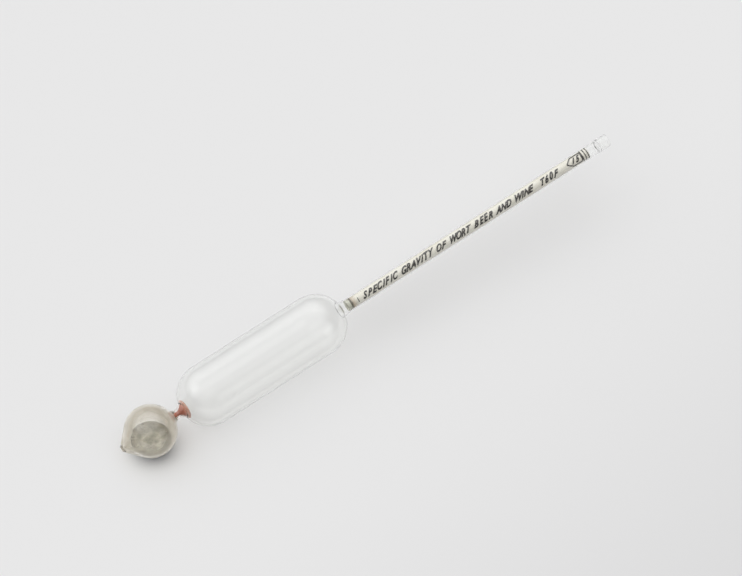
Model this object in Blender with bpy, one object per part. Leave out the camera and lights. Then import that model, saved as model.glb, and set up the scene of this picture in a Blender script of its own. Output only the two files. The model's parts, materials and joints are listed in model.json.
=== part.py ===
"""Hand-blown glass hydrometer for brewing, with mercury ballast and a rolled paper scale.

It lies at rest on its ballast bulb and on the near shoulder of its float, so the long axis
climbs slightly towards the stem. +X runs along the object to the stem, +Z is up, and the
origin is at the middle of the footprint on the surface that it lies on. Metres throughout.
Turned pieces are drawn as (radius, station) profiles, with stations measured along the axis
from the centre of the ballast bulb, positive towards the stem.
"""

import math

import bpy

MM = 0.001

# Driving dimensions
GAP = 0.3 * MM                     # running gap between neighbouring pieces

BULB_RADIUS = 11.1 * MM
BULB_WALL = 0.9 * MM
BULB_MOUTH = 3.6 * MM              # outer radius of the bulb where the neck joins
TAIL_TIP = 14.97 * MM              # bulb centre to the end of the drawn tail
TAIL_NUB = 1.3 * MM                # radius of the melted nub on the tail
TAIL_HOLLOW = 12.0 * MM            # bulb centre to the point that the hollow runs out to
TAIL_HOLLOW_TIP = 0.4 * MM         # radius of that point

NECK_WAIST = 1.95 * MM             # outer radius at the narrowest place
NECK_WAIST_STATION = 12.97 * MM
NECK_BORE = 1.15 * MM
NECK_FUNNEL_START = 13.7 * MM

FLOAT_RADIUS = 13.0 * MM
FLOAT_WALL = 0.4 * MM
FLOAT_NEAR = 28.84 * MM            # centre of the rounded end at the neck
FLOAT_FAR = 82.65 * MM             # centre of the rounded end at the stem
FLOAT_NECK_MOUTH = 3.45 * MM
FLOAT_STEM_MOUTH = 3.6 * MM

STEM_RADIUS = 2.75 * MM
STEM_WALL = 0.32 * MM
STEM_FLARE_LENGTH = 4.06 * MM
STEM_END = 230.1 * MM              # bulb centre to the open, flat-cut end of the stem
SEPTUM_START = 224.5 * MM          # glass disc that seals the stem above the paper
SEPTUM_THICKNESS = 0.94 * MM

CEMENT_START = 98.9 * MM
CEMENT_LENGTH = 2.0 * MM
CEMENT_INNER = 1.3 * MM
PAPER_LENGTH = 119.5 * MM
PAPER_THICKNESS = 0.12 * MM
PAPER_PITCH = 0.3 * MM             # how far the roll winds inwards in one turn
PAPER_TURNS = 1.15

POOL_LEVEL = -0.7 * MM             # the mercury's surface, from the bulb's centre
POOL_MENISCUS = 1.6 * MM           # how far its rounded edge reaches in and down

WAX_CORE = NECK_BORE - GAP
WAX_RIM = 4.1 * MM
WAX_THICKNESS = 0.9 * MM

# Facets round every piece. The count divides by four and a flat faces straight down, so the
# facets lie on the true radius below, above and at both sides.
SIDES = 24

# The lie of the object: one flat surface touches both the bulb and the float's shoulder.
TILT = math.asin((FLOAT_RADIUS - BULB_RADIUS) / FLOAT_NEAR)
REST_ANGLE = 90 + math.degrees(TILT)
TAIL_NUB_CENTRE = -(TAIL_TIP - TAIL_NUB)
FAR_END_X = STEM_END * math.cos(TILT) + STEM_RADIUS * math.sin(TILT)
NEAR_END_X = TAIL_NUB_CENTRE * math.cos(TILT) - TAIL_NUB
BULB_CENTRE = (-(FAR_END_X + NEAR_END_X) / 2, 0.0, BULB_RADIUS)


def clear_scene():
    for obj in list(bpy.data.objects):
        bpy.data.objects.remove(obj, do_unlink=True)


def make_material(name, colour, roughness, metallic=0.0, transmission=0.0):
    material = bpy.data.materials.new(name)
    material.use_nodes = True
    shader = material.node_tree.nodes["Principled BSDF"]
    shader.inputs["Base Color"].default_value = (*colour, 1.0)
    shader.inputs["Roughness"].default_value = roughness
    shader.inputs["Metallic"].default_value = metallic
    shader.inputs["Transmission Weight"].default_value = transmission
    material.diffuse_color = (*colour, 1.0)
    return material


def arc(centre, radius, start, end, steps):
    """Points of a circle about the axis station centre; angles in degrees from the stem side."""
    points = []
    for i in range(steps + 1):
        angle = math.radians(start + (end - start) * i / steps)
        points.append((radius * math.sin(angle), centre + radius * math.cos(angle)))
    return points


def eased(start, end, steps, power=2.0):
    """Points from start to end whose radius leaves start's radius slowly, like a drawn flare."""
    points = []
    for i in range(steps + 1):
        t = i / steps
        radius = start[0] + (end[0] - start[0]) * t**power
        points.append((radius, start[1] + (end[1] - start[1]) * t))
    return points


def mouth_angle(radius, mouth):
    return math.degrees(math.asin(mouth / radius))


def link(name, mesh, material):
    obj = bpy.data.objects.new(name, mesh)
    obj.data.materials.append(material)
    bpy.context.scene.collection.objects.link(obj)
    return obj


def turned(name, profile, material, closed=False):
    """Turn a (radius, station) profile about Z. Its outer side runs from top to bottom."""
    mesh = bpy.data.meshes.new(name)
    half_facet = math.pi / SIDES
    points = [(radius, radius * math.tan(half_facet), station) for radius, station in profile]
    edges = [(i, i + 1) for i in range(len(points) - 1)]
    if closed:
        edges.append((len(points) - 1, 0))
    mesh.from_pydata(points, edges, [])
    obj = link(name, mesh, material)
    screw = obj.modifiers.new("turn", "SCREW")
    screw.axis = "Z"
    screw.angle = 2 * math.pi
    screw.steps = SIDES
    screw.render_steps = SIDES
    screw.use_merge_vertices = True
    screw.merge_threshold = 0.00001
    screw.use_smooth_shade = True
    return obj


def make_bulb(glass):
    """Ballast bulb, drawn out to a cone that ends in a solid nub where it was sealed off."""
    rim = mouth_angle(BULB_RADIUS, BULB_MOUTH)
    cone = math.degrees(math.asin((BULB_RADIUS - TAIL_NUB) / -TAIL_NUB_CENTRE))
    tangent = 90 + cone
    hollow = BULB_RADIUS - BULB_WALL
    tip_centre = TAIL_HOLLOW_TIP - TAIL_HOLLOW
    hollow_tangent = 90 + math.degrees(math.asin((hollow - TAIL_HOLLOW_TIP) / -tip_centre))
    inner = arc(tip_centre, TAIL_HOLLOW_TIP, 180, hollow_tangent, 3)
    inner += arc(0.0, hollow, hollow_tangent, rim, 14)
    outer = arc(0.0, BULB_RADIUS, rim, REST_ANGLE, 10)
    outer += arc(0.0, BULB_RADIUS, REST_ANGLE, tangent, 5)[1:]
    nub = arc(TAIL_NUB_CENTRE, TAIL_NUB, tangent, 180, 4)
    return turned("bulb_glass", inner + outer + nub, glass)


def make_neck(glass):
    """Short thick-walled neck that joins the bulb to the float."""
    bottom = BULB_RADIUS * math.cos(math.radians(mouth_angle(BULB_RADIUS, BULB_MOUTH))) + GAP
    top = float_mouth_station() - GAP
    waist = (NECK_WAIST, NECK_WAIST_STATION)
    upper = eased(waist, (FLOAT_NECK_MOUTH, top), 6)
    lower = eased(waist, (BULB_MOUTH, bottom), 6)
    outer = list(reversed(upper)) + lower[1:]
    funnel = eased((NECK_BORE, NECK_FUNNEL_START), (FLOAT_NECK_MOUTH - 0.55 * MM, top), 5, 1.5)
    return turned("neck_glass", outer + [(NECK_BORE, bottom)] + funnel, glass, True)


def float_mouth_station():
    half_angle = math.asin(FLOAT_NECK_MOUTH / FLOAT_RADIUS)
    return FLOAT_NEAR - FLOAT_RADIUS * math.cos(half_angle)


def make_float(glass):
    """Float body: a blown capsule, open where the neck and the stem are fused on."""
    stem_side = mouth_angle(FLOAT_RADIUS, FLOAT_STEM_MOUTH)
    neck_side = 180 - mouth_angle(FLOAT_RADIUS, FLOAT_NECK_MOUTH)
    inner_radius = FLOAT_RADIUS - FLOAT_WALL
    outer = arc(FLOAT_FAR, FLOAT_RADIUS, stem_side, 90, 9)
    outer += arc(FLOAT_NEAR, FLOAT_RADIUS, 90, REST_ANGLE, 1)
    outer += arc(FLOAT_NEAR, FLOAT_RADIUS, REST_ANGLE, neck_side, 9)[1:]
    inner = arc(FLOAT_NEAR, inner_radius, neck_side, 90, 9)
    inner += arc(FLOAT_FAR, inner_radius, 90, stem_side, 9)
    return turned("float_glass", outer + inner, glass, True)


def stem_foot():
    """Station of the stem's flared foot, just clear of the float's mouth."""
    half_angle = math.asin(FLOAT_STEM_MOUTH / FLOAT_RADIUS)
    return FLOAT_FAR + FLOAT_RADIUS * math.cos(half_angle) + GAP


def make_stem(glass):
    """Stem tube with its flared foot, cut off square and left open at the far end."""
    foot = stem_foot()
    flare = foot + STEM_FLARE_LENGTH
    bore = STEM_RADIUS - STEM_WALL
    outer = [(STEM_RADIUS, STEM_END)]
    outer += eased((STEM_RADIUS, flare), (FLOAT_STEM_MOUTH, foot), 6)
    foot_bore = (FLOAT_STEM_MOUTH - FLOAT_WALL, foot)
    inner = list(reversed(eased((bore, flare), foot_bore, 6)))
    inner.append((bore, STEM_END))
    return turned("stem_glass", outer + inner, glass, True)


def make_septum(glass):
    """Glass disc across the bore that seals the paper in, a little short of the open end."""
    radius = STEM_RADIUS - STEM_WALL - GAP
    top = SEPTUM_START + SEPTUM_THICKNESS
    rim = [(radius - 0.15 * MM, top), (radius, top - 0.15 * MM)]
    rim += [(radius, SEPTUM_START + 0.15 * MM), (radius - 0.15 * MM, SEPTUM_START)]
    return turned("septum_glass", [(0.0, top)] + rim + [(0.0, SEPTUM_START)], glass)


def make_wax_plug(wax):
    """Sealing wax poured through the neck: a thin core and a shallow cake in the float's end."""
    inner_radius = FLOAT_RADIUS - FLOAT_WALL
    rim_angle = math.asin(WAX_RIM / inner_radius)
    seat = FLOAT_NEAR - inner_radius * math.cos(rim_angle) + GAP
    top = seat + WAX_THICKNESS
    cake = [(0.0, top), (0.75 * WAX_RIM, top - 0.05 * MM), (0.95 * WAX_RIM, top - 0.3 * MM)]
    cake += [(WAX_RIM, seat + 0.1 * MM), (0.97 * WAX_RIM, seat)]
    throat = [(FLOAT_NECK_MOUTH - 0.6 * MM, float_mouth_station() + 0.4 * MM)]
    throat += [(FLOAT_NECK_MOUTH - 0.95 * MM, float_mouth_station() - GAP)]
    throat += [(WAX_CORE + 0.35 * MM, NECK_FUNNEL_START + 1.2 * MM), (WAX_CORE, NECK_FUNNEL_START)]
    bulb_end = BULB_RADIUS - BULB_WALL + 0.1 * MM
    foot = [(WAX_CORE, bulb_end + 0.2 * MM), (0.6 * WAX_CORE, bulb_end), (0.0, bulb_end)]
    return turned("wax_plug", cake + throat + foot, wax)


def make_cement_ring(cement):
    """Ring of dark cement that holds the foot of the paper scale in the stem."""
    outer = STEM_RADIUS - STEM_WALL - GAP
    top = CEMENT_START + CEMENT_LENGTH
    profile = [(outer, top), (outer, CEMENT_START), (CEMENT_INNER, CEMENT_START), (CEMENT_INNER, top)]
    return turned("scale_cement", profile, cement, True)


def make_scale_paper(paper):
    """Paper scale: one sheet rolled a little more than once round, its edges overlapping."""
    outer = STEM_RADIUS - STEM_WALL - GAP
    bottom = CEMENT_START + CEMENT_LENGTH + GAP
    steps = round(PAPER_TURNS * SIDES)
    face = []
    back = []
    for i in range(steps + 1):
        turn = PAPER_TURNS * i / steps
        angle = 2 * math.pi * turn
        radius = outer - PAPER_PITCH * turn
        face.append((radius * math.cos(angle), radius * math.sin(angle)))
        radius -= PAPER_THICKNESS
        back.append((radius * math.cos(angle), radius * math.sin(angle)))
    low = [(x, y, bottom) for x, y in face + back]
    high = [(x, y, bottom + PAPER_LENGTH) for x, y in face + back]
    count = steps + 1
    rings = 2 * count
    faces = []
    for i in range(steps):
        faces.append((i, i + 1, i + 1 + rings, i + rings))
        faces.append((count + i + 1, count + i, count + i + rings, count + i + 1 + rings))
        faces.append((i + 1, i, count + i, count + i + 1))
        faces.append((i + rings, i + 1 + rings, count + i + 1 + rings, count + i + rings))
    faces.append((count, 0, rings, count + rings))
    faces.append((steps, count + steps, count + steps + rings, steps + rings))
    mesh = bpy.data.meshes.new("scale_paper")
    mesh.from_pydata(low + high, [], faces)
    mesh.shade_smooth()
    mesh.set_sharp_from_angle(angle=math.radians(40))
    return link("scale_paper", mesh, paper)


def make_mercury(mercury):
    """Mercury pool, level in the bulb, with the rounded edge that mercury has against glass."""
    radius = BULB_RADIUS - BULB_WALL - GAP
    edge_level = POOL_LEVEL - POOL_MENISCUS
    edge_radius = math.sqrt(radius**2 - edge_level**2)
    profile = [(0.0, POOL_LEVEL)]
    for i in range(5):
        angle = math.radians(90 - 75 * i / 4)
        reach = edge_radius - POOL_MENISCUS * (1 - math.cos(angle))
        profile.append((reach, edge_level + POOL_MENISCUS * math.sin(angle)))
    edge_angle = math.degrees(math.acos(edge_level / radius))
    profile += arc(0.0, radius, edge_angle, 180, 10)
    return turned("mercury_ballast", profile, mercury)


def main():
    clear_scene()
    glass = make_material("blown_glass", (0.90, 0.93, 0.90), 0.03, transmission=0.9)
    wax = make_material("red_sealing_wax", (0.52, 0.12, 0.07), 0.45)
    cement = make_material("dark_cement", (0.16, 0.13, 0.08), 0.6)
    paper = make_material("aged_paper", (0.80, 0.75, 0.60), 0.85)
    mercury = make_material("mercury", (0.60, 0.60, 0.57), 0.12, metallic=1.0)

    axis = bpy.data.objects.new("long_axis", None)
    bpy.context.scene.collection.objects.link(axis)
    axis.location = BULB_CENTRE
    axis.rotation_euler = (0.0, math.pi / 2 - TILT, 0.0)

    pieces = [make_bulb(glass), make_neck(glass), make_float(glass), make_stem(glass)]
    pieces += [make_septum(glass), make_wax_plug(wax), make_cement_ring(cement)]
    pieces += [make_scale_paper(paper)]
    for piece in pieces:
        piece.parent = axis

    pool = make_mercury(mercury)
    pool.location = BULB_CENTRE


main()
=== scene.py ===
"""Looks for the blown-glass hydrometer: clear glass, mercury, red wax and an inked paper scale.

Round pieces are drawn along Z in millimetres from the centre of the ballast bulb, as
(radius, station) outlines, and are then laid down the way the hydrometer rests.
"""

import json
import math
import random

import bpy
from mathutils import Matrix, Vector


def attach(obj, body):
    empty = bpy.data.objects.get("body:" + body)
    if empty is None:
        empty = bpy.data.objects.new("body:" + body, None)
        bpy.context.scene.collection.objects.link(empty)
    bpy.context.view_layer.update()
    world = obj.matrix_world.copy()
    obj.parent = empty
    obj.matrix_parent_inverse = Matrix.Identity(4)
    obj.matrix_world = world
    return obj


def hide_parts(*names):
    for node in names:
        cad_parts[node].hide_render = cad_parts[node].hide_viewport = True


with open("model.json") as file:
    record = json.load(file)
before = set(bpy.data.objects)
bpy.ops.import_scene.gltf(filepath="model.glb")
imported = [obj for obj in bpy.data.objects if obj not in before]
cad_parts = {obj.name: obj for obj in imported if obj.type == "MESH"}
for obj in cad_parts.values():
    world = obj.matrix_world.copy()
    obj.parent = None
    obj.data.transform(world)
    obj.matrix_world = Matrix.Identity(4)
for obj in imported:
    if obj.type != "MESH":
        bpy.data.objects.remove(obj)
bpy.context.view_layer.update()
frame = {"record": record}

MM = 0.001
SEAM = 0.02                      # hairline left between two glass pieces that are fused

BULB_RADIUS = 11.1
BULB_WALL = 0.65
BULB_MOUTH = 3.6
TAIL_END = -14.97
NUB_RADIUS = 1.3
TAIL_HOLLOW = -13.1
TAIL_HOLLOW_TIP = 0.65

NECK_START = 10.5
NECK_WAIST = (1.95, 12.97)
NECK_BORE = 0.95
NECK_END = 16.306

FLOAT_RADIUS = 13.0
FLOAT_WALL = 0.34
FLOAT_NEAR = 28.84
FLOAT_FAR = 82.65
FLOAT_NECK_MOUTH = 3.45
FLOAT_STEM_MOUTH = 3.6
NECK_THROAT = 2.95               # inside radius where the neck opens into the float
STEM_THROAT = 3.1                # inside radius where the stem opens out of the float

STEM_FOOT = 95.142
STEM_FLARE = 99.5
STEM_RADIUS = 2.75
STEM_BORE = 2.43
STEM_END = 230.1
SEPTUM_START = 224.5
SEPTUM_END = 225.44

CEMENT_START = 98.3
CEMENT_END = 100.1
PAPER_START = 100.5
PAPER_LENGTH = 119.3
PAPER_RADIUS = 2.39

POOL_LEVEL = -4.4

LIE = math.asin((FLOAT_RADIUS - BULB_RADIUS) / FLOAT_NEAR)
SWING = frame["record"]["behaviour"]["joints"][0]
BULB_CENTRE = Vector(SWING["pos_m"])
LONG_AXIS = Vector((math.cos(LIE), 0, math.sin(LIE)))
FACING = math.radians(209.15)    # the side of the roll that the lettering is on

random.seed(7)


# ---------------------------------------------------------------- drawing tools

def start_fresh():
    """Leaves nothing selected, so the next tool works on the new piece alone."""
    if bpy.context.object and bpy.context.object.mode != "OBJECT":
        bpy.ops.object.mode_set(mode="OBJECT")
    bpy.ops.object.select_all(action="DESELECT")


def pick(piece):
    start_fresh()
    piece.select_set(True)
    bpy.context.view_layer.objects.active = piece


def arc(centre, radius, start, end, steps):
    """Outline points of a circle about an axis station; angles in degrees from the stem side."""
    points = []
    for i in range(steps + 1):
        angle = math.radians(start + (end - start) * i / steps)
        points.append((radius * math.sin(angle), centre + radius * math.cos(angle)))
    return points


def eased(start, end, steps, power=2.0):
    """Outline points whose radius leaves start's slowly, the way hot glass flares."""
    points = []
    for i in range(steps + 1):
        t = i / steps
        radius = start[0] + (end[0] - start[0]) * t**power
        points.append((radius, start[1] + (end[1] - start[1]) * t))
    return points


def draw_round(name, outline, sides, ends):
    """Pulls a ring along Z through an outline.

    ends is poles for a piece that closes on the axis, or joined for an outline that comes back
    to its first point.
    """
    start_fresh()
    radius, station = outline[0]
    bpy.ops.mesh.primitive_circle_add(vertices=sides, radius=radius * MM, location=(0, 0, station * MM))
    piece = bpy.context.object
    piece.name = name
    piece.data.name = name
    bpy.ops.object.transform_apply(location=True, rotation=True, scale=True)
    bpy.ops.object.mode_set(mode="EDIT")
    bpy.ops.mesh.select_all(action="SELECT")
    if ends == "poles":
        bpy.ops.mesh.edge_face_add()
        bpy.ops.mesh.select_all(action="SELECT")
    for next_radius, next_station in outline[1:]:
        rise = (next_station - station) * MM
        if ends == "poles":
            bpy.ops.mesh.extrude_region_move(TRANSFORM_OT_translate={"value": (0, 0, rise)})
        else:
            bpy.ops.mesh.extrude_edges_move(TRANSFORM_OT_translate={"value": (0, 0, rise)})
        grow = next_radius / radius
        bpy.ops.transform.resize(value=(grow, grow, 1), center_override=(0, 0, next_station * MM))
        radius, station = next_radius, next_station
    bpy.ops.mesh.select_all(action="SELECT")
    bpy.ops.mesh.remove_doubles(threshold=0.000002)
    bpy.ops.mesh.normals_make_consistent(inside=False)
    bpy.ops.object.mode_set(mode="OBJECT")
    return piece


def lay_down(piece):
    """Lays a piece drawn along Z the way the hydrometer rests, and settles that in its mesh."""
    pick(piece)
    piece.rotation_euler = (0, math.pi / 2 - LIE, 0)
    piece.location = BULB_CENTRE
    bpy.ops.object.transform_apply(location=True, rotation=True, scale=True)


def smooth(piece, degrees=35):
    pick(piece)
    bpy.ops.object.shade_smooth_by_angle(angle=math.radians(degrees))


def paint(piece, materials, chosen):
    """Gives a piece several finishes. chosen says which one a face takes from its middle and normal."""
    for material in materials:
        piece.data.materials.append(material)
    for face in piece.data.polygons:
        face.material_index = chosen(face.center / MM, face.normal)


def hand_over(piece, body, material, replaced=None):
    """Gives a finished piece its finish, the body that it moves with and the node it stands for."""
    if material:
        piece.data.materials.append(material)
    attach(piece, body)
    if replaced:
        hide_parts(replaced)


# ---------------------------------------------------------------- materials

def new_material(name):
    material = bpy.data.materials.new(name)
    material.use_nodes = True
    nodes = material.node_tree.nodes
    return material, nodes, material.node_tree.links, nodes["Principled BSDF"]


def object_coordinates(nodes, links, turned=False):
    """Object coordinates, turned on request so that X runs along the hydrometer's long axis."""
    place = nodes.new("ShaderNodeTexCoord")
    mapping = nodes.new("ShaderNodeMapping")
    mapping.vector_type = "TEXTURE"
    if turned:
        mapping.inputs["Location"].default_value = BULB_CENTRE
        mapping.inputs["Rotation"].default_value = (0, -LIE, 0)
    links.new(place.outputs["Object"], mapping.inputs["Vector"])
    return mapping.outputs["Vector"]


def noise(nodes, links, vector, scale, detail=3.0, roughness=0.5, stretch=None):
    if stretch:
        squeeze = nodes.new("ShaderNodeMapping")
        squeeze.inputs["Scale"].default_value = stretch
        links.new(vector, squeeze.inputs["Vector"])
        vector = squeeze.outputs["Vector"]
    texture = nodes.new("ShaderNodeTexNoise")
    texture.inputs["Scale"].default_value = scale
    texture.inputs["Detail"].default_value = detail
    texture.inputs["Roughness"].default_value = roughness
    links.new(vector, texture.inputs["Vector"])
    return texture.outputs["Fac"]


def ramp(nodes, links, value, stops):
    shade = nodes.new("ShaderNodeValToRGB")
    elements = shade.color_ramp.elements
    while len(elements) < len(stops):
        elements.new(0.5)
    for element, (position, colour) in zip(elements, stops):
        element.position = position
        element.color = (*colour, 1.0)
    links.new(value, shade.inputs["Fac"])
    return shade.outputs["Color"]


def grey(level):
    return (level, level, level)


def along_axis(nodes, links, vector, start, end):
    """Rises from 0 to 1 between two places on the long axis, in metres from the bulb's centre."""
    split = nodes.new("ShaderNodeSeparateXYZ")
    links.new(vector, split.inputs["Vector"])
    rise = nodes.new("ShaderNodeMapRange")
    rise.inputs["From Min"].default_value = start
    rise.inputs["From Max"].default_value = end
    links.new(split.outputs["X"], rise.inputs["Value"])
    return rise.outputs["Result"]


def bump(nodes, links, height, distance, strength=1.0, under=None):
    relief = nodes.new("ShaderNodeBump")
    relief.inputs["Distance"].default_value = distance
    relief.inputs["Strength"].default_value = strength
    links.new(height, relief.inputs["Height"])
    if under:
        links.new(under, relief.inputs["Normal"])
    return relief.outputs["Normal"]


def make_glass(name, tint, edge_tint, shadow, wave=0.00001):
    """Hand-blown glass: drawn-out waves, a few seeds, and a greener look where it is seen edge on."""
    material, nodes, links, shader = new_material(name)
    vector = object_coordinates(nodes, links, turned=True)
    edge = nodes.new("ShaderNodeLayerWeight")
    edge.inputs["Blend"].default_value = 0.25
    colour = ramp(nodes, links, edge.outputs["Facing"], [(0.35, tint), (0.95, edge_tint)])
    links.new(colour, shader.inputs["Base Color"])
    waves = noise(nodes, links, vector, 110.0, 1.0, 0.4, (0.25, 1.0, 1.0))
    relief = bump(nodes, links, waves, wave)
    seeds = noise(nodes, links, vector, 700.0, 1.0, 0.4, (0.35, 1.0, 1.0))
    specks = ramp(nodes, links, seeds, [(0.80, grey(0.0)), (0.84, grey(1.0))])
    relief = bump(nodes, links, specks, 0.00003, 0.5, relief)
    links.new(relief, shader.inputs["Normal"])
    shader.inputs["Roughness"].default_value = 0.01
    shader.inputs["Transmission Weight"].default_value = 1.0
    shader.inputs["IOR"].default_value = 1.5
    clear = nodes.new("ShaderNodeBsdfTransparent")
    clear.inputs["Color"].default_value = (*shadow, 1.0)
    pass_light(nodes, links, shader.outputs["BSDF"], clear.outputs["BSDF"])
    return material


def pass_light(nodes, links, seen, unseen):
    """Shows one shader to the eye and to mirrors, and another to lamps and scattered light."""
    path = nodes.new("ShaderNodeLightPath")
    either = nodes.new("ShaderNodeMath")
    either.operation = "MAXIMUM"
    links.new(path.outputs["Is Shadow Ray"], either.inputs[0])
    links.new(path.outputs["Is Diffuse Ray"], either.inputs[1])
    mix = nodes.new("ShaderNodeMixShader")
    links.new(either.outputs["Value"], mix.inputs["Fac"])
    links.new(seen, mix.inputs[1])
    links.new(unseen, mix.inputs[2])
    links.new(mix.outputs["Shader"], nodes["Material Output"].inputs["Surface"])


def make_joint():
    """Where two pieces of glass were melted together, nothing shows between them."""
    material, nodes, links, shader = new_material("melted_joint")
    nodes.remove(shader)
    through = nodes.new("ShaderNodeBsdfTransparent")
    links.new(through.outputs["BSDF"], nodes["Material Output"].inputs["Surface"])
    return material


def make_film(name, thin_colour, thick_colour, thin, thick):
    """Glass with a cloudy bloom on it, which covers it most where it is seen edge on."""
    material, nodes, links, shader = new_material(name)
    vector = object_coordinates(nodes, links, turned=True)
    shader.inputs["Base Color"].default_value = (0.93, 0.91, 0.86, 1.0)
    shader.inputs["Roughness"].default_value = 0.01
    shader.inputs["Transmission Weight"].default_value = 1.0
    shader.inputs["IOR"].default_value = 1.5
    clouds = noise(nodes, links, vector, 170.0, 5.0, 0.6)
    colour = ramp(nodes, links, clouds, [(0.3, thick_colour), (0.7, thin_colour)])
    bloom = nodes.new("ShaderNodeBsdfDiffuse")
    glow = nodes.new("ShaderNodeBsdfTranslucent")
    links.new(colour, bloom.inputs["Color"])
    links.new(colour, glow.inputs["Color"])
    body = nodes.new("ShaderNodeMixShader")
    body.inputs["Fac"].default_value = 0.4
    links.new(bloom.outputs["BSDF"], body.inputs[1])
    links.new(glow.outputs["BSDF"], body.inputs[2])
    edge = nodes.new("ShaderNodeLayerWeight")
    edge.inputs["Blend"].default_value = 0.5
    slant = ramp(nodes, links, edge.outputs["Facing"], [(0.10, grey(0.0)), (0.34, grey(0.5))])
    patchy = ramp(nodes, links, clouds, [(0.25, grey(thin)), (0.75, grey(thick))])
    cover = nodes.new("ShaderNodeMath")
    links.new(slant, cover.inputs[0])
    links.new(patchy, cover.inputs[1])
    film = nodes.new("ShaderNodeMixShader")
    links.new(cover.outputs["Value"], film.inputs["Fac"])
    links.new(shader.outputs["BSDF"], film.inputs[1])
    links.new(body.outputs["Shader"], film.inputs[2])
    veil = nodes.new("ShaderNodeBsdfTransparent")
    veil.inputs["Color"].default_value = (0.88, 0.86, 0.81, 1.0)
    pass_light(nodes, links, film.outputs["Shader"], veil.outputs["BSDF"])
    return material


def make_mercury():
    """Old mercury: a dull mirror with a skin of oxide drifting on it."""
    material, nodes, links, shader = new_material("old_mercury")
    vector = object_coordinates(nodes, links)
    skin = noise(nodes, links, vector, 330.0, 4.0, 0.6)
    colour = ramp(nodes, links, skin, [(0.35, (0.15, 0.147, 0.12)), (0.65, (0.41, 0.40, 0.345))])
    links.new(colour, shader.inputs["Base Color"])
    dulled = ramp(nodes, links, skin, [(0.4, grey(0.12)), (0.7, grey(0.3))])
    links.new(dulled, shader.inputs["Roughness"])
    shader.inputs["Metallic"].default_value = 1.0
    ripples = noise(nodes, links, vector, 420.0, 2.0)
    links.new(bump(nodes, links, ripples, 0.00006), shader.inputs["Normal"])
    return material


def make_wax():
    """Brick-red sealing wax, darker red inside the neck and paler pink on the open cake in the float."""
    material, nodes, links, shader = new_material("brick_red_wax")
    vector = object_coordinates(nodes, links, turned=True)
    mottle = noise(nodes, links, vector, 700.0, 5.0, 0.65)
    neck_wax_colour = ramp(nodes, links, mottle, [(0.3, (0.22, 0.045, 0.02)), (0.7, (0.46, 0.15, 0.08))])
    open_cake_colour = ramp(nodes, links, mottle, [(0.3, (0.52, 0.22, 0.15)), (0.7, (0.78, 0.50, 0.40))])
    open_end = along_axis(nodes, links, vector, 0.0156, 0.0168)
    blend = nodes.new("ShaderNodeMixRGB")
    links.new(open_end, blend.inputs["Fac"])
    links.new(neck_wax_colour, blend.inputs["Color1"])
    links.new(open_cake_colour, blend.inputs["Color2"])
    links.new(blend.outputs["Color"], shader.inputs["Base Color"])
    shader.inputs["Roughness"].default_value = 0.35
    shader.inputs["Subsurface Weight"].default_value = 0.12
    shader.inputs["Subsurface Scale"].default_value = 0.0012
    links.new(bump(nodes, links, mottle, 0.00012), shader.inputs["Normal"])
    return material


def make_paper():
    """Laid writing paper, browned with age, with glue stains at its foot."""
    material, nodes, links, shader = new_material("aged_rag_paper")
    vector = object_coordinates(nodes, links, turned=True)
    fibres = noise(nodes, links, vector, 2600.0, 4.0, 0.7, (0.3, 1.0, 1.0))
    ageing = noise(nodes, links, vector, 150.0, 4.0, 0.6)
    base = ramp(nodes, links, ageing, [(0.3, (0.85, 0.82, 0.72)), (0.7, (0.93, 0.915, 0.84))])
    blend = nodes.new("ShaderNodeMixRGB")
    blend.blend_type = "MULTIPLY"
    blend.inputs["Fac"].default_value = 0.25
    links.new(base, blend.inputs["Color1"])
    links.new(ramp(nodes, links, fibres, [(0.3, grey(0.75)), (0.7, grey(1.0))]), blend.inputs["Color2"])
    stain = nodes.new("ShaderNodeMixRGB")
    links.new(along_axis(nodes, links, vector, 0.1007, 0.1030), stain.inputs["Fac"])
    stain.inputs["Color1"].default_value = (0.56, 0.47, 0.36, 1.0)
    links.new(blend.outputs["Color"], stain.inputs["Color2"])
    links.new(stain.outputs["Color"], shader.inputs["Base Color"])
    shader.inputs["Roughness"].default_value = 0.8
    links.new(bump(nodes, links, fibres, 0.00003), shader.inputs["Normal"])
    return material


def make_ink():
    """Iron-gall ink, black where the pen was full and brown where it ran dry."""
    material, nodes, links, shader = new_material("brown_black_ink")
    vector = object_coordinates(nodes, links, turned=True)
    flow = noise(nodes, links, vector, 700.0, 3.0, 0.6)
    colour = ramp(nodes, links, flow, [(0.35, (0.006, 0.005, 0.004)), (0.75, (0.030, 0.021, 0.013))])
    links.new(colour, shader.inputs["Base Color"])
    shader.inputs["Roughness"].default_value = 0.6
    shader.inputs["Specular IOR Level"].default_value = 0.2
    return material


def make_cement():
    """Dark olive cement, lumpy and slightly shiny."""
    material, nodes, links, shader = new_material("dark_olive_cement")
    vector = object_coordinates(nodes, links, turned=True)
    lumps = noise(nodes, links, vector, 900.0, 4.0, 0.6)
    dark = ramp(nodes, links, lumps, [(0.3, (0.06, 0.052, 0.028)), (0.7, (0.17, 0.15, 0.09))])
    pale = ramp(nodes, links, lumps, [(0.3, (0.50, 0.50, 0.41)), (0.7, (0.66, 0.66, 0.57))])
    blend = nodes.new("ShaderNodeMixRGB")
    links.new(along_axis(nodes, links, vector, 0.0994, 0.0997), blend.inputs["Fac"])
    links.new(pale, blend.inputs["Color1"])
    links.new(dark, blend.inputs["Color2"])
    links.new(blend.outputs["Color"], shader.inputs["Base Color"])
    shader.inputs["Roughness"].default_value = 0.4
    links.new(bump(nodes, links, lumps, 0.0001), shader.inputs["Normal"])
    return material


# ---------------------------------------------------------------- glass

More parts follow.
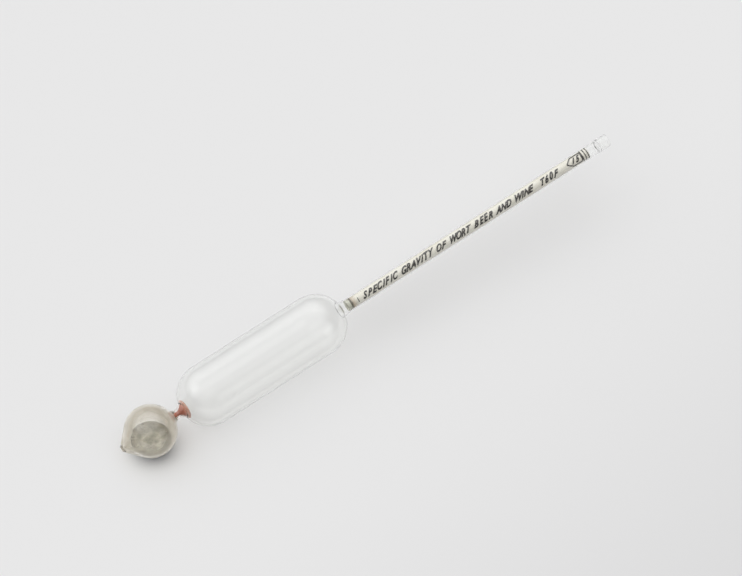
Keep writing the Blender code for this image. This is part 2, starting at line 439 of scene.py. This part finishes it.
def blow_bulb(glass, film, tip_highlight, joint):
    """The bulb and its drawn tail. The faces of the hollow are the ones that the film is on; the outer
    faces of the tail's nub carry a near-white film as a painted highlight.
    """
    on_glass, on_film, on_tip_highlight, on_joint = range(4)
    tip_length = 2.2
    rim = math.degrees(math.asin(BULB_MOUTH / BULB_RADIUS))
    nub_centre = TAIL_END + NUB_RADIUS
    tangent = 90 + math.degrees(math.asin((BULB_RADIUS - NUB_RADIUS) / -nub_centre))
    hollow = BULB_RADIUS - BULB_WALL
    tip_centre = TAIL_HOLLOW + TAIL_HOLLOW_TIP
    hollow_tangent = 90 + math.degrees(math.asin((hollow - TAIL_HOLLOW_TIP) / -tip_centre))
    inner = arc(tip_centre, TAIL_HOLLOW_TIP, 177, hollow_tangent, 8)
    inner += arc(0.0, hollow, hollow_tangent, math.degrees(math.asin(NECK_BORE / hollow)), 36)
    inner += [(NECK_BORE, NECK_START)]
    outer = arc(0.0, BULB_RADIUS, rim, tangent, 36)
    nub = arc(nub_centre, NUB_RADIUS, tangent, 177, 10)
    bulb = draw_round("bulb_shell", inner + outer + nub, 96, "poles")
    smooth(bulb, 40)

    def chosen(middle, normal):
        if middle.z > NECK_START - 0.01 and normal.z > 0.99:
            return on_joint
        if middle.dot(normal) < 0:
            return on_film
        return on_tip_highlight if middle.z < TAIL_END + tip_length else on_glass

    paint(bulb, [glass, film, tip_highlight, joint], chosen)
    lay_down(bulb)
    hand_over(bulb, "hydrometer", None, "bulb_glass")


def draw_neck(glass, joint):
    """The narrow waist between bulb and float. Both of its end faces are melted joints."""
    bottom = NECK_START + SEAM / 2
    top = NECK_END - SEAM / 2
    upper = eased(NECK_WAIST, (FLOAT_NECK_MOUTH, top), 14)
    lower = eased(NECK_WAIST, (BULB_MOUTH, bottom), 12)
    outer = list(reversed(upper)) + lower[1:]
    funnel = eased((NECK_BORE, 13.7), (NECK_THROAT, top), 10, 1.3)
    neck = draw_round("neck_waist", outer + [(NECK_BORE, bottom)] + funnel + [outer[0]], 72, "joined")
    smooth(neck, 40)

    def chosen(middle, normal):
        near_an_end = not bottom + 0.1 < middle.z < top - 0.1
        return 1 if abs(normal.z) > 0.99 and near_an_end else 0

    paint(neck, [glass, joint], chosen)
    lay_down(neck)
    hand_over(neck, "hydrometer", None, "neck_glass")


def blow_float(glass, joint):
    """The float, a thin capsule whose wall turns in with a small fillet at the stem's mouth."""
    stem_side = math.degrees(math.asin(FLOAT_STEM_MOUTH / FLOAT_RADIUS))
    neck_side = 180 - math.degrees(math.asin(FLOAT_NECK_MOUTH / FLOAT_RADIUS))
    hollow = FLOAT_RADIUS - FLOAT_WALL
    outer = arc(FLOAT_FAR, FLOAT_RADIUS, stem_side, 90, 30)
    outer += arc(FLOAT_NEAR, FLOAT_RADIUS, 90, neck_side, 30)
    far_mouth, near_mouth = outer[0][1], outer[-1][1]
    inner = [(NECK_THROAT, near_mouth)]
    inner += arc(FLOAT_NEAR, hollow, 180 - math.degrees(math.asin(NECK_THROAT / hollow)), 90, 30)
    fillet = 0.7
    turn_in = STEM_THROAT + fillet
    shoulder = arc(FLOAT_FAR, hollow, 90, math.degrees(math.asin(turn_in / hollow)), 30)
    inner += shoulder
    for i in range(1, 9):
        angle = math.radians(90 * i / 8)
        run = (far_mouth - shoulder[-1][1]) * (1 - math.cos(angle))
        inner.append((turn_in - fillet * math.sin(angle), shoulder[-1][1] + run))
    body = draw_round("float_shell", outer + inner + [outer[0]], 128, "joined")
    smooth(body, 40)
    paint(body, [glass, joint],
          lambda middle, normal: 1 if not near_mouth + 0.01 < middle.z < far_mouth - 0.01 else 0)
    lay_down(body)
    hand_over(body, "hydrometer", None, "float_glass")


def draw_stem(glass, joint):
    """The stem and the disc across its bore, which are fused into one piece of glass."""
    foot = STEM_FOOT + SEAM / 2
    fillet = 0.3
    upper_face = [(0.02, SEPTUM_END)]
    lower_face = [(0.02, SEPTUM_START)]
    for i in range(7):
        angle = math.radians(15 * i)
        reach = STEM_BORE - fillet + fillet * math.sin(angle)
        upper_face.append((reach, SEPTUM_END + fillet * (1 - math.cos(angle))))
        lower_face.append((reach, SEPTUM_START - fillet * (1 - math.cos(angle))))
    rim_middle = (STEM_BORE + STEM_RADIUS) / 2
    rim_radius = 0.16
    lip = arc(STEM_END - rim_radius, rim_radius, -90, 90, 8)
    rim = [(rim_middle + radius, station) for radius, station in lip]
    outer = eased((STEM_RADIUS, STEM_FLARE), (FLOAT_STEM_MOUTH, foot), 14)
    inner = list(reversed(eased((STEM_BORE, STEM_FLARE), (STEM_THROAT, foot), 14)))
    outline = upper_face + rim + outer + inner + list(reversed(lower_face))
    stem = draw_round("stem_tube", outline, 72, "poles")
    smooth(stem, 40)

    def chosen(middle, normal):
        return 1 if normal.z < -0.9 and middle.z < foot + 0.1 else 0

    paint(stem, [glass, joint], chosen)
    lay_down(stem)
    hand_over(stem, "hydrometer", None, "stem_glass")
    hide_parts("septum_glass")


# ---------------------------------------------------------------- filling

def pour_wax(wax):
    """A thin core through the bore, a funnel above it and a shallow cake in the float's near end."""
    clearance = 0.03
    hollow = FLOAT_RADIUS - FLOAT_WALL - clearance
    rim = 4.15
    seat = FLOAT_NEAR - math.sqrt(hollow**2 - rim**2)
    core = NECK_BORE - clearance
    throat = NECK_THROAT - clearance
    shoulder = FLOAT_NEAR - math.sqrt(hollow**2 - throat**2)
    cake = [(0.02, seat + 0.35), (1.6, seat + 0.4), (3.0, seat + 0.62), (3.8, seat + 0.72)]
    cake += [(rim, seat + 0.4)]
    cake += [(rim, seat), ((rim + throat) / 2, (seat + shoulder) / 2 + 0.02), (throat, shoulder)]
    funnel = list(reversed(eased((core, 13.7), (throat, NECK_END), 8, 1.3)))
    foot = [(core, 11.2), (core * 0.9, 10.8), (0.6 * core, 10.6), (0.02, 10.55)]
    plug = draw_round("wax_fill", cake + funnel + foot, 64, "poles")
    smooth(plug, 50)
    lay_down(plug)
    hand_over(plug, "hydrometer", wax, "wax_plug")


def pour_mercury(mercury):
    """The pool at the level that is seen, with a rounded edge where it meets the glass."""
    radius = BULB_RADIUS - BULB_WALL - 0.04
    meniscus = 1.3
    edge_level = POOL_LEVEL - meniscus
    edge_radius = math.sqrt(radius**2 - edge_level**2)
    outline = [(0.02, POOL_LEVEL)]
    for i in range(13):
        angle = math.radians(90 - 84 * i / 12)
        reach = edge_radius - meniscus * (1 - math.cos(angle)) * 1.2
        outline.append((reach, edge_level + meniscus * math.sin(angle)))
    edge_angle = math.degrees(math.acos(edge_level / radius))
    outline += arc(0.0, radius, edge_angle, 179.2, 20)
    pool = draw_round("mercury_pool", outline, 96, "poles")
    smooth(pool, 60)
    pick(pool)
    pool.location = BULB_CENTRE
    bpy.ops.object.transform_apply(location=True, rotation=True, scale=True)
    hand_over(pool, "ballast", mercury, "mercury_ballast")


def spread_cement(cement):
    """The ring of cement that holds the foot of the roll in the bore."""
    outer = STEM_BORE - 0.02
    outline = [(outer, CEMENT_END + 0.1), (outer, CEMENT_START - 0.2)]
    outline += [(outer - 0.3, CEMENT_START - 0.05)]
    outline += [(1.4, CEMENT_START + 0.2), (1.4, CEMENT_END - 0.2), (outer - 0.25, CEMENT_END)]
    ring = draw_round("cement_ring", outline + [outline[0]], 64, "joined")
    smooth(ring, 40)
    lay_down(ring)
    hand_over(ring, "hydrometer", cement, "scale_cement")


# ---------------------------------------------------------------- paper scale

def roll_up(piece, radius, wind=0.0):
    """Rolls a flat piece round in the bore: x runs along the axis, y round it and z outwards."""
    for point in piece.data.vertices:
        along, across, proud = point.co / MM
        angle = FACING - across / radius
        reach = radius + proud - wind * (across / (2 * math.pi * radius) + 0.5)
        point.co = Vector((reach * math.cos(angle), reach * math.sin(angle), along)) * MM


def thicken(piece, thickness, offset):
    pick(piece)
    body = piece.modifiers.new("thickness", "SOLIDIFY")
    body.thickness = thickness * MM
    body.offset = offset
    bpy.ops.object.modifier_apply(modifier=body.name)


def cut_sheet(paper):
    """The sheet itself, a turn and an eighth round, with its edges overlapping."""
    width = 2 * math.pi * PAPER_RADIUS * 1.12
    start_fresh()
    bpy.ops.mesh.primitive_grid_add(x_subdivisions=60, y_subdivisions=110, size=2 * MM)
    sheet = bpy.context.object
    sheet.name = "scale_roll"
    sheet.data.name = "scale_roll"
    sheet.scale = (PAPER_LENGTH / 2, width / 2, 1)
    sheet.location = ((PAPER_START + PAPER_LENGTH / 2) * MM, 0, 0)
    bpy.ops.object.transform_apply(location=True, rotation=True, scale=True)
    roll_up(sheet, PAPER_RADIUS, 0.2)
    thicken(sheet, 0.1, -1)
    smooth(sheet, 40)
    lay_down(sheet)
    hand_over(sheet, "hydrometer", paper, "scale_paper")


def write_letter(letter, along, across, size, weight, unsteady=1.0):
    """One pen-drawn character, a little off its line and never twice the same."""
    start_fresh()
    bpy.ops.object.text_add()
    glyph = bpy.context.object
    glyph.data.body = letter
    glyph.data.size = size * MM
    glyph.data.align_x = "CENTER"
    glyph.data.align_y = "CENTER"
    glyph.data.offset = weight * MM
    glyph.data.resolution_u = 3
    glyph.data.shear = 0.75
    bpy.ops.object.convert(target="MESH")
    glyph = bpy.context.object
    wobble = random.uniform(-0.07, 0.07) * unsteady
    taller = 1 + random.uniform(-0.06, 0.06) * unsteady
    glyph.rotation_euler = (0, 0, wobble)
    glyph.scale = (0.87 + random.uniform(-0.05, 0.05) * unsteady, taller, 1)
    drift = random.uniform(-0.1, 0.1) * unsteady
    glyph.location = (along * MM, (across + drift) * MM, 0)
    bpy.ops.object.transform_apply(location=True, rotation=True, scale=True)
    return glyph


def write_line(text, start, across, size, pitch, weight, unsteady=1.0):
    widths = {"W": 1.35, "I": 0.65, " ": 0.8}
    glyphs = []
    along = start
    for letter in text:
        room = pitch * widths.get(letter, 1.0)
        if letter != " ":
            place = along + room / 2 + pitch * random.uniform(-0.06, 0.06) * unsteady
            glyphs.append(write_letter(letter, place, across, size, weight, unsteady))
        along += room
    return glyphs


def rule_line(start, end, width):
    """A ruled stroke between two flat points, with enough cuts across it to be rolled up."""
    run = Vector((end[0] - start[0], end[1] - start[1], 0))
    start_fresh()
    cuts = max(2, round(run.length / 0.25))
    middle = ((start[0] + end[0]) / 2 * MM, (start[1] + end[1]) / 2 * MM, 0)
    bpy.ops.mesh.primitive_grid_add(x_subdivisions=cuts, y_subdivisions=1, size=2 * MM)
    stroke = bpy.context.object
    stroke.scale = (run.length / 2, width / 2, 1)
    stroke.rotation_euler = (0, 0, math.atan2(run.y, run.x))
    stroke.location = middle
    bpy.ops.object.transform_apply(location=True, rotation=True, scale=True)
    return stroke


def ink_on(strokes, name, ink):
    """Joins flat strokes, cuts them into strips that can bend, and rolls them onto the paper."""
    start_fresh()
    for stroke in strokes:
        stroke.select_set(True)
    bpy.context.view_layer.objects.active = strokes[0]
    bpy.ops.object.join()
    piece = bpy.context.object
    piece.name = name
    piece.data.name = name
    across = [point.co.y for point in piece.data.vertices]
    bpy.ops.object.mode_set(mode="EDIT")
    cut = math.floor(min(across) / (0.3 * MM)) * 0.3 * MM
    while cut < max(across):
        bpy.ops.mesh.select_all(action="SELECT")
        bpy.ops.mesh.bisect(plane_co=(0, cut, 0), plane_no=(0, 1, 0))
        cut += 0.3 * MM
    bpy.ops.object.mode_set(mode="OBJECT")
    roll_up(piece, PAPER_RADIUS + 0.005)
    thicken(piece, 0.012, 1)
    lay_down(piece)
    hand_over(piece, "hydrometer", ink)


def ink_scale(ink):
    """The lettering on the near side of the roll, and the divisions and figures on the far side."""
    pen = 0.17
    title = "SPECIFIC GRAVITY OF WORT BEER AND WINE"
    ink_on(write_line(title, 104.9, -0.3, size=3.8, pitch=2.39, weight=pen), "ink_title", ink)
    note = write_line("T60F", 194.3, -0.3, size=3.7, pitch=2.3, weight=pen)
    ink_on(note, "ink_temperature", ink)
    corners = [(209.0, 0.1), (211.6, 2.0), (216.2, 2.0), (216.2, -1.9), (211.6, -1.9), (209.0, 0.1)]
    box = [rule_line(corners[i], corners[i + 1], 0.46) for i in range(5)]
    number = write_line("15", 210.8, 0.0, size=3.0, pitch=1.95, weight=pen)
    ink_on(box + number, "ink_frame", ink)
    rings = [rule_line((x, -3.2), (x, 3.2), 0.42) for x in (216.7, 218.0, 219.3)]
    rings += [rule_line((103.2, -1.4), (103.2, 0.6), 0.34)]
    ink_on(rings, "ink_rings", ink)
    far_side = -math.pi * PAPER_RADIUS
    foot_of_marks = far_side - 0.3
    first_mark = 107.0
    spacing = 1.2
    marks = []
    numbers = []
    for step in range(91):
        place = first_mark + spacing * step
        reach = 2.2 if step % 10 == 0 else 1.6 if step % 5 == 0 else 1.0
        marks.append(rule_line((place, foot_of_marks), (place, foot_of_marks + reach), 0.13))
        if step % 10 == 0:
            start = place - 0.7 * len(str(step))
            numbers += write_line(str(step), start, far_side - 1.6, 2.0, 1.4, 0.0, 0.5)
    ink_on(marks, "ink_divisions", ink)
    ink_on(numbers, "ink_figures", ink)


# ---------------------------------------------------------------- stage

def set_stage():
    """A wide pale table top whose colour is painted darker towards the front right, as painted shade where
    the light falls off.
    """
    start_fresh()
    bpy.ops.mesh.primitive_plane_add(size=40, location=(0, 0, 0))
    floor = bpy.context.object
    floor.name = "pale_floor"
    bpy.ops.object.transform_apply(location=True, rotation=True, scale=True)
    material, nodes, links, shader = new_material("pale_floor")
    place = nodes.new("ShaderNodeTexCoord")
    forward = nodes.new("ShaderNodeVectorMath")
    forward.operation = "DOT_PRODUCT"
    forward.inputs[1].default_value = (0.16, -0.99, 0)
    links.new(place.outputs["Object"], forward.inputs[0])
    shade_falloff_mask = nodes.new("ShaderNodeMapRange")
    shade_falloff_mask.interpolation_type = "SMOOTHSTEP"
    shade_falloff_mask.inputs["From Min"].default_value = 0.02
    shade_falloff_mask.inputs["From Max"].default_value = 0.26
    links.new(forward.outputs["Value"], shade_falloff_mask.inputs["Value"])
    # painted shade: the floor colour darkens from back left to front right to stand in for the light
    # falling off
    floor_lit_and_shaded_tones = [(0.0, (0.727, 0.726, 0.727)), (1.0, (0.635, 0.634, 0.637))]
    floor_painted_shade = ramp(nodes, links, shade_falloff_mask.outputs["Result"], floor_lit_and_shaded_tones)
    links.new(floor_painted_shade, shader.inputs["Base Color"])
    shader.inputs["Roughness"].default_value = 0.9
    shader.inputs["Specular IOR Level"].default_value = 0.1
    floor.data.materials.append(material)


def light_stage():
    """A white tent of light: an even glow, a broad one from above and two small highlights."""
    world = bpy.data.worlds.new("tent")
    bpy.context.scene.world = world
    world.use_nodes = True
    nodes = world.node_tree.nodes
    links = world.node_tree.links
    background = nodes["Background"]
    where = nodes.new("ShaderNodeTexCoord")
    background.inputs["Color"].default_value = (1.0, 1.0, 1.0, 1.0)
    glows = [((0, 0, 1), -1.0, 1.0, 0.1), ((-0.22, 0.30, 1.0), 0.2, 1.0, 1.59)]
    glows += [((-0.636, 0.403, 0.660), 0.93, 0.99, 0.7), ((0.404, -0.783, 0.475), 0.94, 0.99, 0.6)]
    total = None
    for direction, fade_start, fade_end, strength in glows:
        towards = nodes.new("ShaderNodeVectorMath")
        towards.operation = "DOT_PRODUCT"
        towards.inputs[1].default_value = Vector(direction).normalized()
        links.new(where.outputs["Generated"], towards.inputs[0])
        fade = nodes.new("ShaderNodeMapRange")
        fade.interpolation_type = "SMOOTHERSTEP"
        fade.inputs["From Min"].default_value = fade_start
        fade.inputs["From Max"].default_value = fade_end
        fade.inputs["To Max"].default_value = strength
        links.new(towards.outputs["Value"], fade.inputs["Value"])
        if total is None:
            total = fade.outputs["Result"]
            fade.inputs["To Min"].default_value = 0.55
            continue
        add = nodes.new("ShaderNodeMath")
        links.new(total, add.inputs[0])
        links.new(fade.outputs["Result"], add.inputs[1])
        total = add.outputs["Value"]
    links.new(total, background.inputs["Strength"])


def set_camera():
    """A long lens, far enough away that near and far ends look the same size."""
    turn = math.radians(35.86)
    drop = math.radians(54.8)
    right = Vector((math.cos(turn), -math.sin(turn), 0))
    back = Vector((-math.sin(turn) * math.cos(drop), -math.cos(turn) * math.cos(drop), math.sin(drop)))
    up = back.cross(right)
    aim = BULB_CENTRE + LONG_AXIS * 0.1076 + right * 0.00236 + up * 0.00252
    distance = 6.0
    start_fresh()
    bpy.ops.object.camera_add(location=aim + back * distance, rotation=(math.pi / 2 - drop, 0, -turn))
    camera = bpy.context.object
    camera.data.sensor_width = 36
    camera.data.lens = 714.3
    camera.data.clip_start = 0.05
    bpy.context.scene.camera = camera
    bpy.context.scene.view_settings.view_transform = "Standard"


# ---------------------------------------------------------------- making it

set_camera()
set_stage()
light_stage()

clear_glass = make_glass("blown_glass", (0.99, 0.993, 0.987), (0.93, 0.94, 0.92), (0.965, 0.965, 0.962))
tube_glass = make_glass("tube_glass", (0.99, 0.993, 0.988), (0.91, 0.90, 0.88), (0.91, 0.905, 0.895),
                        wave=0.000004)
# painted reflection: the clear neck glass is tinted pink, most where seen edge on, to stand in for the red
# wax seen through and reflected in it
neck_glass = make_glass("neck_glass", (0.985, 0.93, 0.90), (0.93, 0.74, 0.66), (0.95, 0.90, 0.88))
joint = make_joint()
tarnish = make_film("tarnished_glass", (0.79, 0.74, 0.64), (0.67, 0.61, 0.50), 0.22, 0.34)
# painted highlight: a near-white scattering film on the clear nub of the tail stands in for the bright
# highlight there
tip_painted_highlight = make_film("tip_painted_highlight", (0.98, 0.98, 0.97), (0.93, 0.93, 0.91), 0.42, 0.6)
blow_bulb(clear_glass, tarnish, tip_painted_highlight, joint)
draw_neck(neck_glass, joint)
blow_float(clear_glass, joint)
draw_stem(tube_glass, joint)
pour_wax(make_wax())
pour_mercury(make_mercury())
spread_cement(make_cement())
cut_sheet(make_paper())
ink_scale(make_ink())
